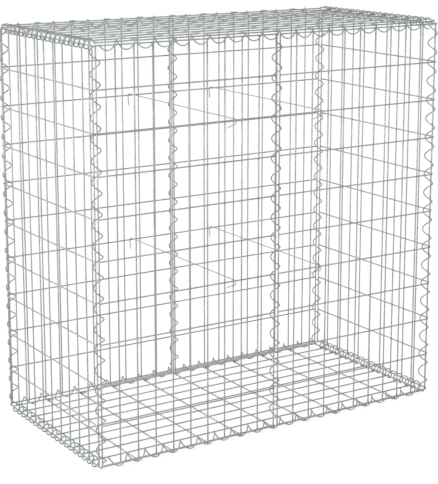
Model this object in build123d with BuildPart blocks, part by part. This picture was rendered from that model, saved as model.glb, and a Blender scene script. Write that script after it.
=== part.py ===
"""An empty welded-mesh gabion basket with its lid.

Eight flat panels of welded wire stand edge to edge, and helical spirals lace them together along every
edge of the box and up the middle seams of its front and back. Four tie wires run across it from back
to front. +Z is up, the front faces -Y, and the origin is under the middle of the basket, at the level
of the lowest turns of its spirals.
"""
import os
from math import degrees, pi, sin, sqrt

from build123d import *

# Basket, between the planes of opposite panels
basket_length = 1000.0
basket_depth = 500.0
basket_height = 1000.0

# Welded mesh
mesh_wire_d = 3.5
mesh_width = 50.0
mesh_length = 100.0
weld_sink = 0.7
edge_inset = 6.0  # from a corner line of the basket to the edge wires on either side of it

# Spirals
spiral_d = 26.0
spiral_wire_d = 3.0
seat_gap = 0.3
spiral_end_gap = 3.0  # between the end of one spiral and the turns of the one across it
turns_per_long_cell = 2
turns_per_short_cell = 2

# Tie wires, each in one column of cells, counted from the middle seam, and on two rows of the mesh
tie_wire_d = 2.4
tie_column = 2
tie_lower_row = 4
tie_upper_row = 8
back_hook_r = 9.0
back_hook_turn = 98.0
back_tail = 21.0
front_hook_r = 6.0
front_hook_turn = 157.0
front_tail = 38.0

# Wires are drawn as bars of few sides with the same area as the round wire
wire_sides = 6
same_area_share = sqrt(2 * pi / (wire_sides * sin(2 * pi / wire_sides)))
mesh_bar_r = mesh_wire_d / 2 * same_area_share
spiral_bar_r = spiral_wire_d / 2 * same_area_share

# Cells of the mesh
wall_width = basket_length / 2 - 2 * edge_inset
side_width = basket_depth - 2 * edge_inset
base_length = basket_length - 2 * edge_inset
wall_height = basket_height - 2 * edge_inset
wall_cells = max(1, round(wall_width / mesh_width))
side_cells = max(1, round(side_width / mesh_width))
wall_rows = max(1, round(wall_height / mesh_length))
columns_per_base_cell = max(1, round(mesh_length / mesh_width))
base_rows = max(1, round(2 * wall_cells / columns_per_base_cell))
layer_step = mesh_wire_d - weld_sink

# Seats of the spirals: each holds its two edge wires in the outer side of its turns
spiral_r = (spiral_d - spiral_wire_d) / 2
seat_r = spiral_r - spiral_bar_r - mesh_bar_r - seat_gap
spiral_reach = spiral_d / 2


def seat(first, second):
    """Centre, across the edge, of a spiral that holds two edge wires, on the side towards the basket."""
    across = second - first
    inward = Vector(-across.Y, across.X).normalized()
    return (first + second) / 2 + inward * sqrt(seat_r**2 - across.length**2 / 4)


# Each edge is seen with the basket towards +x and +y, its two wires at these places from the corner line
corner_seat = seat(Vector(0, edge_inset), Vector(edge_inset, 0))
long_edge_seat = seat(Vector(-layer_step, edge_inset), Vector(edge_inset, 0))
side_edge_seat = seat(Vector(-layer_step, edge_inset), Vector(edge_inset, -layer_step))
middle_seat = seat(Vector(-edge_inset, 0), Vector(edge_inset, 0))

# Levels and planes of the basket
base_level = spiral_reach - min(long_edge_seat.Y, side_edge_seat.Y)
lid_level = base_level + basket_height
middle_level = base_level + basket_height / 2
half_length = basket_length / 2
half_depth = basket_depth / 2

# Spirals stop short of the ones that they meet
corner_spiral = wall_height
corner_stop = corner_seat.X + spiral_reach + spiral_end_gap
long_edge_stop = long_edge_seat.Y + spiral_reach + spiral_end_gap
long_edge_spiral = basket_length - 2 * corner_stop
side_edge_spiral = basket_depth - 2 * corner_stop
middle_spiral = basket_height - 2 * long_edge_stop

os.makedirs("parts", exist_ok=True)


def save(piece, label):
    piece.label = label
    export_step(piece, f"parts/{label}.step")


def welded_panel(label, plane, width, length, cells, rows):
    """A flat mesh: wires along the plane's y, and on their outer side the cross wires along its x."""
    long_start = plane.from_local_coords((0, -length / 2 - mesh_wire_d / 2, 0))
    cross_start = plane.from_local_coords((-width / 2 - mesh_wire_d / 2, 0, layer_step))
    long_wires = Plane(long_start, plane.x_dir, plane.y_dir)
    cross_wires = Plane(cross_start, plane.y_dir, plane.x_dir)
    with BuildPart() as panel:
        with BuildSketch(long_wires):
            with GridLocations(width / cells, 0, cells + 1, 1):
                RegularPolygon(mesh_bar_r, wire_sides, rotation=180 / wire_sides)
        extrude(amount=length + mesh_wire_d)
        with BuildSketch(cross_wires):
            with GridLocations(length / rows, 0, rows + 1, 1):
                RegularPolygon(mesh_bar_r, wire_sides, rotation=180 / wire_sides)
        extrude(amount=width + mesh_wire_d)
    save(panel.part, label)


def edge_spiral(label, centre, along, clear_side, length, pitch):
    """A left-handed spiral. Its middle turn, and each that passes a cross wire, is on the clear side."""
    first_turn = Vector(clear_side).rotate(Axis((0, 0, 0), along), degrees(pi * length / pitch))
    start = Plane(centre, first_turn, along).offset(-length / 2)
    turns = start * Helix(pitch, length, spiral_r, lefthand=True)
    with BuildPart() as spiral:
        with BuildSketch(Plane(turns @ 0, z_dir=turns % 0)):
            RegularPolygon(spiral_bar_r, wire_sides)
        sweep(path=turns, is_frenet=True)
    save(spiral.part, label)


def tie(label, x, row_level):
    """A wire laid over one cross wire of the back and of the front, with hooks that reach as far out."""
    level = row_level + mesh_bar_r + tie_wire_d / 2 + seat_gap
    wire_row = half_depth + layer_step
    front_bend = wire_row + back_hook_r - front_hook_r
    with BuildPart() as wire:
        with BuildLine(Plane((x, 0, level), (0, 1, 0), (1, 0, 0))) as line:
            run = Line((-front_bend, 0), (wire_row, 0))
            back = JernArc(run @ 1, run % 1, back_hook_r, -back_hook_turn)
            Line(back @ 1, back @ 1 + (back % 1) * back_tail)
            front = JernArc(run @ 0, (run % 0) * -1, front_hook_r, front_hook_turn)
            Line(front @ 1, front @ 1 + (front % 1) * front_tail)
        path = line.wire()
        with BuildSketch(Plane(path @ 0, z_dir=path % 0)):
            Circle(tie_wire_d / 2)
        sweep(path=path)
    save(wire.part, label)


# Panels, each seen from outside
for end, direction in (("front", -1), ("back", 1)):
    for side, hand in (("left", -1), ("right", 1)):
        centre = (hand * half_length / 2, direction * half_depth, middle_level)
        face = Plane(centre, (-direction, 0, 0), (0, direction, 0))
        welded_panel(f"{end}_{side}_panel", face, wall_width, wall_height, wall_cells, wall_rows)
for side, hand in (("left", -1), ("right", 1)):
    face = Plane((hand * half_length, 0, middle_level), (0, hand, 0), (hand, 0, 0))
    welded_panel(f"{side}_side_panel", face, side_width, wall_height, side_cells, wall_rows)
for name, level, direction in (("base", base_level, -1), ("lid", lid_level, 1)):
    face = Plane((0, 0, level), (0, 1, 0), (0, 0, direction))
    welded_panel(f"{name}_panel", face, side_width, base_length, side_cells, base_rows)

# Spirals up the corners and the middle seams
row_pitch = wall_height / wall_rows / turns_per_long_cell
for end, direction in (("front", -1), ("back", 1)):
    for side, hand in (("left", -1), ("right", 1)):
        x = hand * (half_length - corner_seat.X)
        y = direction * (half_depth - corner_seat.Y)
        label = f"{end}_{side}_corner_spiral"
        inward = (-hand, -direction, 0)
        edge_spiral(label, (x, y, middle_level), (0, 0, 1), inward, corner_spiral, row_pitch)
    y = direction * (half_depth - middle_seat.Y)
    inward = (0, -direction, 0)
    edge_spiral(f"{end}_middle_spiral", (0, y, middle_level), (0, 0, 1), inward, middle_spiral, row_pitch)

# Spirals along the edges of the base and of the lid
long_pitch = base_length / (2 * wall_cells) * columns_per_base_cell / turns_per_long_cell
side_pitch = side_width / side_cells / turns_per_short_cell
for name, level, up in (("base", base_level, -1), ("lid", lid_level, 1)):
    for end, direction in (("front", -1), ("back", 1)):
        centre = (0, direction * (half_depth - long_edge_seat.X), level - up * long_edge_seat.Y)
        outward = (0, direction, up)
        edge_spiral(f"{name}_{end}_spiral", centre, (1, 0, 0), outward, long_edge_spiral, long_pitch)
    for side, hand in (("left", -1), ("right", 1)):
        centre = (hand * (half_length - side_edge_seat.X), 0, level - up * side_edge_seat.Y)
        outward = (hand, 0, up)
        edge_spiral(f"{name}_{side}_spiral", centre, (0, 1, 0), outward, side_edge_spiral, side_pitch)

# Tie wires across the basket
tie_x = edge_inset + (tie_column + 1 / 2) * wall_width / wall_cells
for height, row in (("lower", tie_lower_row), ("upper", tie_upper_row)):
    row_level = base_level + edge_inset + row * wall_height / wall_rows
    for side, hand in (("left", -1), ("right", 1)):
        tie(f"{height}_{side}_tie", hand * tie_x, row_level)
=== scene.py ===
from math import atan, cos, hypot, pi, radians, sin

import bpy
from bpy.props import FloatProperty, FloatVectorProperty, IntProperty, PointerProperty
from mathutils import Matrix, Vector


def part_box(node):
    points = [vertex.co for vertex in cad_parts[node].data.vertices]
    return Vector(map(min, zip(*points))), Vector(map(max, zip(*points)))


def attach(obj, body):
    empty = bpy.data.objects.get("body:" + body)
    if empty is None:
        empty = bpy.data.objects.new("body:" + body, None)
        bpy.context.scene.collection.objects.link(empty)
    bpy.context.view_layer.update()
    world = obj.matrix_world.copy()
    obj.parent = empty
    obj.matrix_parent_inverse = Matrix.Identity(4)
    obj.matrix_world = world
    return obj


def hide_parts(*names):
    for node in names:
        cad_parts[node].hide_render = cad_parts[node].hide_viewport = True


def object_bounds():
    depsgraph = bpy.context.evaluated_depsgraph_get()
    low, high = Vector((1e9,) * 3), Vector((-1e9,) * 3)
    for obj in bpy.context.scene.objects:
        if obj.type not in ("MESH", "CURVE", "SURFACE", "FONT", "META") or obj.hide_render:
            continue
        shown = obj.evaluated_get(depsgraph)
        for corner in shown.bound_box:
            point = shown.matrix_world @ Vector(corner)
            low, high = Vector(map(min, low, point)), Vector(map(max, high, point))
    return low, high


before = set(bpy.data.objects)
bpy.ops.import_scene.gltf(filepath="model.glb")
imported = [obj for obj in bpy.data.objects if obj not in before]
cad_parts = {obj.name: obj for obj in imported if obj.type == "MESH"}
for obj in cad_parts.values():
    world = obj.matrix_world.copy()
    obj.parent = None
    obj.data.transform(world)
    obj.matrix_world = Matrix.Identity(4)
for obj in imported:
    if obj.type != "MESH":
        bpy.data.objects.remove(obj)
cad_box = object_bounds()

bl_info = {
    "name": "Gabion basket",
    "version": (1, 0, 0),
    "blender": (4, 5, 0),
    "location": "View3D > Sidebar > Gabion",
    "description": "Dresses an empty welded-mesh gabion basket: panels, lacing spirals and tie wires",
    "category": "Object",
}

# Each panel: the direction of its cross wires and the direction that it faces
PANELS = {
    "front_left_panel": ((1, 0, 0), (0, -1, 0)),
    "front_right_panel": ((1, 0, 0), (0, -1, 0)),
    "back_left_panel": ((-1, 0, 0), (0, 1, 0)),
    "back_right_panel": ((-1, 0, 0), (0, 1, 0)),
    "left_side_panel": ((0, -1, 0), (-1, 0, 0)),
    "right_side_panel": ((0, 1, 0), (1, 0, 0)),
    "base_panel": ((0, 1, 0), (0, 0, -1)),
    "lid_panel": ((0, 1, 0), (0, 0, 1)),
}

# Spirals alike in length and pitch. Each one: its direction, and the side where it passes the cross wires
CORNER_SPIRALS = {
    "front_left_corner_spiral": ((0, 0, 1), (1, 1, 0)),
    "front_right_corner_spiral": ((0, 0, 1), (-1, 1, 0)),
    "back_left_corner_spiral": ((0, 0, 1), (1, -1, 0)),
    "back_right_corner_spiral": ((0, 0, 1), (-1, -1, 0)),
}
MIDDLE_SPIRALS = {
    "front_middle_spiral": ((0, 0, 1), (0, 1, 0)),
    "back_middle_spiral": ((0, 0, 1), (0, -1, 0)),
}
LONG_EDGE_SPIRALS = {
    "base_front_spiral": ((1, 0, 0), (0, -1, -1)),
    "base_back_spiral": ((1, 0, 0), (0, 1, -1)),
    "lid_front_spiral": ((1, 0, 0), (0, -1, 1)),
    "lid_back_spiral": ((1, 0, 0), (0, 1, 1)),
}
SIDE_EDGE_SPIRALS = {
    "base_left_spiral": ((0, 1, 0), (-1, 0, -1)),
    "base_right_spiral": ((0, 1, 0), (1, 0, -1)),
    "lid_left_spiral": ((0, 1, 0), (-1, 0, 1)),
    "lid_right_spiral": ((0, 1, 0), (1, 0, 1)),
}

TIES = ("upper_left_tie", "upper_right_tie", "lower_left_tie", "lower_right_tie")

# How finely the wires are modelled
STRAIGHT_WIRE_SIDES = 12
BENT_WIRE_SIDES = 10
STEPS_PER_TURN = 28
STEPS_PER_HOOK = 14
SMOOTH_UNDER = radians(50)
CHAMFER_OVER = radians(60)

# Shares of the mesh wire's diameter: the chamfer of a cut end, and the radius and height of a weld's lump
CHAMFER_SHARE = 1 / 8
LUMP_SHARE = 0.56
LUMP_HEIGHT_SHARE = 0.62

# How far a finished piece may lie from the box of the node that it stands for
PLACE_TOLERANCE = 0.004

# Zinc: its grains, dull patches and drawn lines, and the shares by which they change its tone
ZINC_METALLIC = 0.4
SPANGLE_SCALE = 320
GRAIN_TONE_SHARES = (0.82, 1.12)
GRAIN_ROUGHNESS = (-0.1, 0.14)
PATCH_SCALE = 26
PATCH_DETAIL = 4
PATCH_RANGE = (0.3, 0.7)
PATCH_TONE_SHARES = (0.84, 1.16)
DRAWN_SCALE = 900
DRAWN_DETAIL = 3
DRAWN_STRENGTH = 0.25
DRAWN_DEPTH = 0.0003

# White floor: its grey as it lights the basket, and its grey and glow as it is seen
PAPER_GREY = 0.8
SEEN_GREY = 0.3
SEEN_GLOW = 0.84


class WireSizes(bpy.types.PropertyGroup):
    """Sizes of the mesh, the spirals and the ties."""

    mesh_wire: FloatProperty(
        name="Mesh wire", description="Diameter of the welded wires", default=0.0035, unit="LENGTH"
    )
    weld_sink: FloatProperty(
        name="Weld sink",
        description="How far crossing wires are pressed together",
        default=0.0007,
        unit="LENGTH",
    )
    cells: IntProperty(name="Cells", description="Cells across a panel", default=10, min=1)
    rows: IntProperty(name="Rows", description="Rows of cells along a panel", default=10, min=1)
    spiral_wire: FloatProperty(
        name="Spiral wire", description="Diameter of the spirals' wire", default=0.003, unit="LENGTH"
    )
    spiral_width: FloatProperty(
        name="Spiral width", description="Outer diameter of a spiral", default=0.026, unit="LENGTH"
    )
    long_pitch: FloatProperty(
        name="Long pitch",
        description="Rise of one turn up the walls and along the length",
        default=0.0494,
        unit="LENGTH",
    )
    side_pitch: FloatProperty(
        name="Side pitch", description="Rise of one turn along the sides", default=0.0244, unit="LENGTH"
    )
    tie_wire: FloatProperty(
        name="Tie wire", description="Diameter of the tie wires", default=0.0024, unit="LENGTH"
    )
    back_hook: FloatProperty(
        name="Back hook", description="Radius of the hook at the back", default=0.009, unit="LENGTH"
    )
    back_turn: FloatProperty(
        name="Back turn", description="How far the back hook is bent", default=radians(98), subtype="ANGLE"
    )
    back_tail: FloatProperty(
        name="Back tail", description="Straight end of the back hook", default=0.021, unit="LENGTH"
    )
    front_hook: FloatProperty(
        name="Front hook", description="Radius of the hook at the front", default=0.006, unit="LENGTH"
    )
    front_turn: FloatProperty(
        name="Front turn", description="How far the front hook is bent", default=radians(157), subtype="ANGLE"
    )
    front_tail: FloatProperty(
        name="Front tail", description="Straight end of the front hook", default=0.038, unit="LENGTH"
    )


class ZincFinish(bpy.types.PropertyGroup):
    """Colours and roughness of the galvanised wires."""

    mesh_colour: FloatVectorProperty(
        name="Mesh zinc", description="Zinc on the welded mesh", default=(0.43, 0.46, 0.47), subtype="COLOR"
    )
    spiral_colour: FloatVectorProperty(
        name="Spiral zinc", description="Zinc on the spirals", default=(0.37, 0.40, 0.41), subtype="COLOR"
    )
    tie_colour: FloatVectorProperty(
        name="Tie zinc", description="Zinc on the tie wires", default=(0.34, 0.365, 0.375), subtype="COLOR"
    )
    mesh_roughness: FloatProperty(name="Mesh roughness", description="Roughness of the mesh", default=0.42)
    spiral_roughness: FloatProperty(
        name="Spiral roughness", description="Roughness of the spirals", default=0.36
    )
    tie_roughness: FloatProperty(name="Tie roughness", description="Roughness of the ties", default=0.34)


class StageLook(bpy.types.PropertyGroup):
    """Camera and light of the stage."""

    azimuth: FloatProperty(
        name="Azimuth",
        description="Camera's direction round the basket",
        default=radians(-32.743),
        subtype="ANGLE",
    )
    elevation: FloatProperty(
        name="Elevation", description="Camera's angle above level", default=radians(11.567), subtype="ANGLE"
    )
    distance: FloatProperty(
        name="Distance", description="From the camera to the point it looks at", default=3.7223, unit="LENGTH"
    )
    target: FloatVectorProperty(
        name="Target",
        description="Point that the camera looks at",
        default=(-0.0102, -0.0035, 0.5945),
        subtype="TRANSLATION",
    )
    lens: FloatProperty(name="Lens", description="Focal length in millimetres", default=107.0)
    shift: FloatProperty(name="Shift", description="Upward shift of the picture's frame", default=-0.12)
    sky: FloatProperty(name="Sky", description="Strength of the light from all round", default=0.55)
    key: FloatProperty(
        name="Key light", description="Power of the large soft lamp", default=330.0, unit="POWER"
    )
    key_place: FloatVectorProperty(
        name="Key place",
        description="Where the large soft lamp stands",
        default=(-7.4, -0.8, 2.4),
        subtype="TRANSLATION",
    )
    key_size: FloatProperty(
        name="Key size", description="Side of the large soft lamp", default=3.0, unit="LENGTH"
    )
    floor_size: FloatProperty(
        name="Floor", description="Side of the white floor", default=120.0, unit="LENGTH"
    )


def only(obj):
    """Leaves this object alone selected and active."""
    bpy.ops.object.select_all(action="DESELECT")
    obj.select_set(True)
    bpy.context.view_layer.objects.active = obj


def settle(obj):
    """Puts the object's place, turn and size into its mesh."""
    only(obj)
    bpy.ops.object.transform_apply(location=True, rotation=True, scale=True)


def close_and_smooth(obj):
    """Caps the open ends of a bent wire, turns its faces outwards and smooths it."""
    only(obj)
    bpy.ops.object.mode_set(mode="EDIT")
    bpy.ops.mesh.select_all(action="SELECT")
    bpy.ops.mesh.fill_holes(sides=0)
    bpy.ops.mesh.select_all(action="SELECT")
    bpy.ops.mesh.normals_make_consistent(inside=False)
    bpy.ops.object.mode_set(mode="OBJECT")
    bpy.ops.object.shade_smooth_by_angle(angle=SMOOTH_UNDER)


def copy_to(obj, name, across, along, outward, centre):
    """A copy of a finished piece, with its own mesh, turned and moved to its place in the basket."""
    only(obj)
    bpy.ops.object.duplicate(linked=False)
    copy = bpy.context.view_layer.objects.active
    copy.name = name
    turn = Matrix((across, along, outward)).transposed().to_4x4()
    copy.matrix_world = Matrix.Translation(centre) @ turn
    settle(copy)
    return copy


def middle(node):
    low, high = (Vector(corner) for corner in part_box(node))
    return (low + high) / 2


def span(node):
    low, high = (Vector(corner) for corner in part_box(node))
    return high - low


def dress(piece, node, material):
    """Ties a finished piece to the part of the basket that it stands for."""
    for axis, low, high in zip(range(3), *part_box(node)):
        values = [vertex.co[axis] for vertex in piece.data.vertices]
        first, last = min(values), max(values)
        if max(abs(first - low), abs(last - high)) > PLACE_TOLERANCE:
            raise RuntimeError(
                f"{piece.name} leaves its place along axis {axis}: "
                f"{first:.4f} to {last:.4f}, not {low:.4f} to {high:.4f}"
            )
    piece.data.materials.clear()
    piece.data.materials.append(material)
    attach(piece, "root")
    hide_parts(node)


def zinc(name, colour, roughness):
    """Galvanised wire: faint spangle in the zinc, dull patches, and a fine drawn texture."""
    material = bpy.data.materials.new(name)
    material.use_nodes = True
    nodes, links = material.node_tree.nodes, material.node_tree.links
    shader = nodes["Principled BSDF"]
    shader.inputs["Metallic"].default_value = ZINC_METALLIC
    where = nodes.new("ShaderNodeTexCoord")

    spangle = nodes.new("ShaderNodeTexVoronoi")
    spangle.inputs["Scale"].default_value = SPANGLE_SCALE
    links.new(where.outputs["Object"], spangle.inputs["Vector"])
    patches = nodes.new("ShaderNodeTexNoise")
    patches.inputs["Scale"].default_value = PATCH_SCALE
    patches.inputs["Detail"].default_value = PATCH_DETAIL
    links.new(where.outputs["Object"], patches.inputs["Vector"])

    tone = nodes.new("ShaderNodeMapRange")
    tone.inputs["From Min"].default_value, tone.inputs["From Max"].default_value = PATCH_RANGE
    links.new(patches.outputs["Fac"], tone.inputs["Value"])
    dull = nodes.new("ShaderNodeMix")
    dull.data_type = "RGBA"
    for end, share in zip("AB", PATCH_TONE_SHARES):
        dull.inputs[end].default_value = (*(share * c for c in colour), 1)
    links.new(tone.outputs["Result"], dull.inputs["Factor"])
    grains = nodes.new("ShaderNodeSeparateColor")
    links.new(spangle.outputs["Color"], grains.inputs["Color"])
    grain_tone = nodes.new("ShaderNodeMapRange")
    grain_tone.inputs["To Min"].default_value, grain_tone.inputs["To Max"].default_value = GRAIN_TONE_SHARES
    links.new(grains.outputs["Red"], grain_tone.inputs["Value"])
    shaded = nodes.new("ShaderNodeVectorMath")
    shaded.operation = "SCALE"
    links.new(dull.outputs["Result"], shaded.inputs[0])
    links.new(grain_tone.outputs["Result"], shaded.inputs["Scale"])
    links.new(shaded.outputs["Vector"], shader.inputs["Base Color"])

    rough = nodes.new("ShaderNodeMapRange")
    for end, change in zip(("To Min", "To Max"), GRAIN_ROUGHNESS):
        rough.inputs[end].default_value = roughness + change
    links.new(grains.outputs["Green"], rough.inputs["Value"])
    links.new(rough.outputs["Result"], shader.inputs["Roughness"])

    drawn = nodes.new("ShaderNodeTexNoise")
    drawn.inputs["Scale"].default_value = DRAWN_SCALE
    drawn.inputs["Detail"].default_value = DRAWN_DETAIL
    links.new(where.outputs["Object"], drawn.inputs["Vector"])
    bump = nodes.new("ShaderNodeBump")
    bump.inputs["Strength"].default_value = DRAWN_STRENGTH
    bump.inputs["Distance"].default_value = DRAWN_DEPTH
    links.new(drawn.outputs["Fac"], bump.inputs["Height"])
    links.new(bump.outputs["Normal"], shader.inputs["Normal"])
    return material


def wire_rank(length, thick, start, turn, step, count):
    """Parallel straight wires: one is modelled with its cut ends chamfered, and the rest repeat it."""
    bpy.ops.object.select_all(action="DESELECT")
    bpy.ops.mesh.primitive_cylinder_add(
        vertices=STRAIGHT_WIRE_SIDES, radius=thick / 2, depth=length, location=start, rotation=turn
    )
    wire = bpy.context.object
    settle(wire)
    ends = wire.modifiers.new("Cut ends", "BEVEL")
    ends.width = thick * CHAMFER_SHARE
    ends.segments = 1
    ends.limit_method = "ANGLE"
    ends.angle_limit = CHAMFER_OVER
    rank = wire.modifiers.new("Rank", "ARRAY")
    rank.use_relative_offset = False
    rank.use_constant_offset = True
    rank.constant_offset_displace = step
    rank.count = count
    bpy.ops.object.modifier_apply(modifier=ends.name)
    bpy.ops.object.modifier_apply(modifier=rank.name)
    return wire


def weld_nuggets(thick, start, step_across, across, step_along, along):
    """The small lumps of the welds, one at each crossing."""
    bpy.ops.object.select_all(action="DESELECT")
    bpy.ops.mesh.primitive_ico_sphere_add(subdivisions=2, radius=thick * LUMP_SHARE, location=start)
    nuggets = bpy.context.object
    nuggets.scale = (1, 1, LUMP_HEIGHT_SHARE)
    settle(nuggets)
    for name, step, count in (("Across", step_across, across), ("Along", step_along, along)):
        rank = nuggets.modifiers.new(name, "ARRAY")
        rank.use_relative_offset = False
        rank.use_constant_offset = True
        rank.constant_offset_displace = step
        rank.count = count
        bpy.ops.object.modifier_apply(modifier=rank.name)
    return nuggets


class GABION_OT_mesh_panels(bpy.types.Operator):
    """Welds one panel of mesh and sets a copy of it on each face of the basket"""

    bl_idname = "gabion.mesh_panels"
    bl_label = "Mesh panels"

    def execute(self, context):
        sizes, finish = context.scene.gabion_sizes, context.scene.gabion_finish
        thick = sizes.mesh_wire
        layer = thick - sizes.weld_sink
        size = span("front_left_panel")
        width, length = size.x - thick, size.z - thick
        across = Vector((width / sizes.cells, 0, 0))
        along = Vector((0, length / sizes.rows, 0))
        corner = Vector((-width / 2, -length / 2, 0))

        long_count, cross_count = sizes.cells + 1, sizes.rows + 1
        long_start, cross_start = (corner.x, 0, -layer / 2), (0, corner.y, layer / 2)
        long_wires = wire_rank(size.z, thick, long_start, (pi / 2, 0, 0), across, long_count)
        cross_wires = wire_rank(size.x, thick, cross_start, (0, pi / 2, 0), along, cross_count)
        welds = weld_nuggets(thick, corner, across, long_count, along, cross_count)
        only(long_wires)
        cross_wires.select_set(True)
        welds.select_set(True)
        bpy.ops.object.join()
        pattern = context.view_layer.objects.active
        bpy.ops.object.shade_smooth_by_angle(angle=SMOOTH_UNDER)

        material = zinc("Galvanised mesh", finish.mesh_colour, finish.mesh_roughness)
        for node, (across_to, outward) in PANELS.items():
            across_to, outward = Vector(across_to), Vector(outward)
            along_to = outward.cross(across_to)
            panel = copy_to(pattern, f"{node}_mesh", across_to, along_to, outward, middle(node))
            dress(panel, node, material)
        only(pattern)
        bpy.ops.object.delete()
        return {"FINISHED"}


def coil(length, pitch, sizes):
    """A left-handed spiral along Z, its middle at the origin and its middle turn towards +X."""
    thick = sizes.spiral_wire
    radius = (sizes.spiral_width - thick) / 2
    turns = length / pitch
    bpy.ops.object.select_all(action="DESELECT")
    bpy.ops.mesh.primitive_circle_add(
        vertices=BENT_WIRE_SIDES,
        radius=thick / 2,
        fill_type="NOTHING",
        location=(radius, 0, -length / 2),
        rotation=(atan(2 * pi * radius / pitch), 0, 0),
    )
    spiral = bpy.context.object
    settle(spiral)
    screw = spiral.modifiers.new("Turns", "SCREW")
    screw.axis = "Z"
    screw.angle = -2 * pi * turns
    screw.screw_offset = length
    screw.iterations = 1
    screw.steps = screw.render_steps = round(STEPS_PER_TURN * turns)
    screw.use_smooth_shade = True
    bpy.ops.object.modifier_apply(modifier=screw.name)
    spiral.rotation_euler = (0, 0, pi * turns)
    settle(spiral)
    close_and_smooth(spiral)
    return spiral


class GABION_OT_edge_spirals(bpy.types.Operator):
    """Winds the spirals that lace the panels along the edges and the middle seams"""

    bl_idname = "gabion.edge_spirals"
    bl_label = "Edge spirals"

    def execute(self, context):
        sizes, finish = context.scene.gabion_sizes, context.scene.gabion_finish
        material = zinc("Galvanised spiral", finish.spiral_colour, finish.spiral_roughness)
        for kind, pitch in (
            (CORNER_SPIRALS, sizes.long_pitch),
            (MIDDLE_SPIRALS, sizes.long_pitch),
            (LONG_EDGE_SPIRALS, sizes.long_pitch),
            (SIDE_EDGE_SPIRALS, sizes.side_pitch),
        ):
            first = next(iter(kind))
            girth = pi * (sizes.spiral_width - sizes.spiral_wire)
            end_lean = sizes.spiral_wire * girth / hypot(girth, pitch)
            pattern = coil(max(span(first)) - end_lean, pitch, sizes)
            for node, (along, clear) in kind.items():
                along, clear = Vector(along), Vector(clear).normalized()
                spiral = copy_to(pattern, f"{node}_wire", clear, along.cross(clear), along, middle(node))
                dress(spiral, node, material)
            only(pattern)
            bpy.ops.object.delete()
        return {"FINISHED"}


class GABION_OT_tie_wires(bpy.types.Operator):
    """Bends the tie wires that cross the basket from back to front"""

    bl_idname = "gabion.tie_wires"
    bl_label = "Tie wires"

    def execute(self, context):
        sizes, finish = context.scene.gabion_sizes, context.scene.gabion_finish
        material = zinc("Galvanised tie", finish.tie_colour, finish.tie_roughness)
        for node in TIES:
            tie = self.bend(node, sizes)
            close_and_smooth(tie)
            dress(tie, node, material)
        return {"FINISHED"}

    def bend(self, node, sizes):
        """One wire, drawn out from the tip of its back hook to the tip of its front hook."""
        low, high = (Vector(corner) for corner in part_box(node))
        half = sizes.tie_wire / 2
        x, level = (low.x + high.x) / 2, high.z - half
        back_centre = Vector((x, high.y - half - sizes.back_hook, level - sizes.back_hook))
        front_centre = Vector((x, low.y + half + sizes.front_hook, level - sizes.front_hook))
        rise = Vector((0, -cos(sizes.back_turn), sin(sizes.back_turn)))
        bend_end = back_centre + Vector((0, sin(sizes.back_turn), cos(sizes.back_turn))) * sizes.back_hook
        bpy.ops.object.select_all(action="DESELECT")
        bpy.ops.mesh.primitive_circle_add(
            vertices=BENT_WIRE_SIDES,
            radius=half,
            fill_type="NOTHING",
            location=bend_end - rise * sizes.back_tail,
            rotation=(sizes.back_turn - pi / 2, 0, 0),
        )
        tie = bpy.context.object
        tie.name = f"{node}_wire"
        settle(tie)
        bpy.ops.object.mode_set(mode="EDIT")
        bpy.ops.mesh.select_all(action="SELECT")
        self.draw(rise * sizes.back_tail)
        self.turn(back_centre, sizes.back_turn)
        self.draw(Vector((0, front_centre.y - back_centre.y, 0)))
        self.turn(front_centre, sizes.front_turn)
        self.draw(Vector((0, -cos(sizes.front_turn), -sin(sizes.front_turn))) * sizes.front_tail)
        bpy.ops.object.mode_set(mode="OBJECT")
        return tie

    def draw(self, way):
        bpy.ops.mesh.extrude_region_move(TRANSFORM_OT_translate={"value": way})

    def turn(self, centre, angle):
        bpy.ops.mesh.spin(steps=STEPS_PER_HOOK, angle=-angle, center=centre, axis=(1, 0, 0))


def white_to_view(tree, plain, seen):
    """Joins two shaders: one for what lights the basket, the other for what is seen or mirrored."""
    nodes, links = tree.nodes, tree.links
    path = nodes.new("ShaderNodeLightPath")
    either = nodes.new("ShaderNodeMath")
    either.operation = "MAXIMUM"
    links.new(path.outputs["Is Camera Ray"], either.inputs[0])
    links.new(path.outputs["Is Glossy Ray"], either.inputs[1])
    any_view = nodes.new("ShaderNodeMath")
    any_view.operation = "MAXIMUM"
    links.new(either.outputs["Value"], any_view.inputs[0])
    links.new(path.outputs["Is Transmission Ray"], any_view.inputs[1])
    mix = nodes.new("ShaderNodeMixShader")
    links.new(any_view.outputs["Value"], mix.inputs["Fac"])
    links.new(plain, mix.inputs[1])
    links.new(seen, mix.inputs[2])
    return mix.outputs["Shader"]


def floor_paper():
    """White paper that is seen as white and still takes the basket's shadow."""
    material = bpy.data.materials.new("White paper")
    material.use_nodes = True
    tree = material.node_tree
    nodes, links = tree.nodes, tree.links
    nodes.remove(nodes["Principled BSDF"])
    paper = nodes.new("ShaderNodeBsdfDiffuse")
    paper.inputs["Color"].default_value = (PAPER_GREY, PAPER_GREY, PAPER_GREY, 1)
    shadowed = nodes.new("ShaderNodeBsdfDiffuse")
    shadowed.inputs["Color"].default_value = (SEEN_GREY, SEEN_GREY, SEEN_GREY, 1)
    glow = nodes.new("ShaderNodeEmission")
    glow.inputs["Strength"].default_value = SEEN_GLOW
    seen = nodes.new("ShaderNodeAddShader")
    links.new(shadowed.outputs["BSDF"], seen.inputs[0])
    links.new(glow.outputs["Emission"], seen.inputs[1])
    surface = white_to_view(tree, paper.outputs["BSDF"], seen.outputs["Shader"])
    links.new(surface, nodes["Material Output"].inputs["Surface"])
    return material


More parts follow.
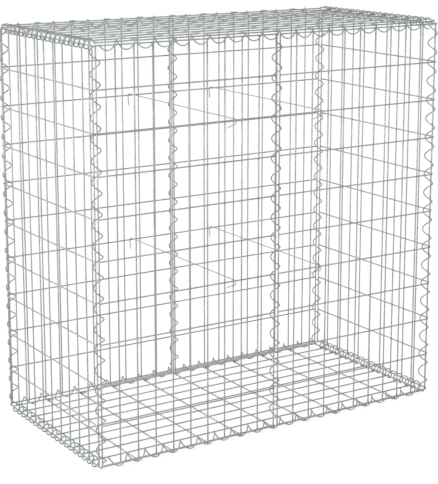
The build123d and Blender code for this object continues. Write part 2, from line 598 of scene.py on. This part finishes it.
class GABION_OT_stage(bpy.types.Operator):
    """Sets the white floor, the soft light and the camera"""

    bl_idname = "gabion.stage"
    bl_label = "Stage"

    def execute(self, context):
        look = context.scene.gabion_stage
        bpy.ops.object.select_all(action="DESELECT")
        bpy.ops.mesh.primitive_plane_add(size=look.floor_size, location=(0, 0, cad_box[0][2]))
        floor = context.object
        floor.name = "white_floor"
        floor.data.materials.append(floor_paper())
        settle(floor)

        world = bpy.data.worlds.new("White studio")
        context.scene.world = world
        world.use_nodes = True
        tree = world.node_tree
        light = tree.nodes["Background"]
        light.inputs["Color"].default_value = (1, 1, 1, 1)
        light.inputs["Strength"].default_value = look.sky
        seen = tree.nodes.new("ShaderNodeBackground")
        seen.inputs["Color"].default_value = (1, 1, 1, 1)
        seen.inputs["Strength"].default_value = 1
        surface = white_to_view(tree, light.outputs["Background"], seen.outputs["Background"])
        tree.links.new(surface, tree.nodes["World Output"].inputs["Surface"])

        bpy.ops.object.light_add(type="AREA", location=look.key_place)
        key = context.object
        key.name = "soft_key"
        key.data.size = look.key_size
        key.data.energy = look.key
        basket_middle = (Vector(cad_box[0]) + Vector(cad_box[1])) / 2
        key.rotation_euler = (basket_middle - key.location).to_track_quat("-Z", "Y").to_euler()

        outward = Vector(
            (
                sin(look.azimuth) * cos(look.elevation),
                -cos(look.azimuth) * cos(look.elevation),
                sin(look.elevation),
            )
        )
        bpy.ops.object.camera_add(location=Vector(look.target) + outward * look.distance)
        camera = context.object
        camera.name = "photo_camera"
        camera.rotation_euler = (-outward).to_track_quat("-Z", "Y").to_euler()
        camera.data.lens = look.lens
        camera.data.sensor_width = 36
        camera.data.shift_y = look.shift
        context.scene.camera = camera
        context.scene.view_settings.view_transform = "Standard"
        return {"FINISHED"}


class GABION_PT_basket(bpy.types.Panel):
    """Lists the steps that dress the basket"""

    bl_idname = "GABION_PT_basket"
    bl_label = "Gabion basket"
    bl_space_type = "VIEW_3D"
    bl_region_type = "UI"
    bl_category = "Gabion"

    def draw(self, context):
        for operator in OPERATORS:
            self.layout.operator(operator.bl_idname)
        for group in (context.scene.gabion_sizes, context.scene.gabion_finish, context.scene.gabion_stage):
            box = self.layout.box()
            for name in group.__annotations__:
                box.prop(group, name)


OPERATORS = (GABION_OT_mesh_panels, GABION_OT_edge_spirals, GABION_OT_tie_wires, GABION_OT_stage)
GROUPS = {"gabion_sizes": WireSizes, "gabion_finish": ZincFinish, "gabion_stage": StageLook}


def register():
    for cls in (*GROUPS.values(), *OPERATORS, GABION_PT_basket):
        bpy.utils.register_class(cls)
    for name, group in GROUPS.items():
        setattr(bpy.types.Scene, name, PointerProperty(type=group))


def unregister():
    for name in GROUPS:
        delattr(bpy.types.Scene, name)
    for cls in reversed((*GROUPS.values(), *OPERATORS, GABION_PT_basket)):
        bpy.utils.unregister_class(cls)


def main():
    register()
    bpy.ops.gabion.mesh_panels()
    bpy.ops.gabion.edge_spirals()
    bpy.ops.gabion.tie_wires()
    bpy.ops.gabion.stage()


if __name__ == "__main__":
    main()
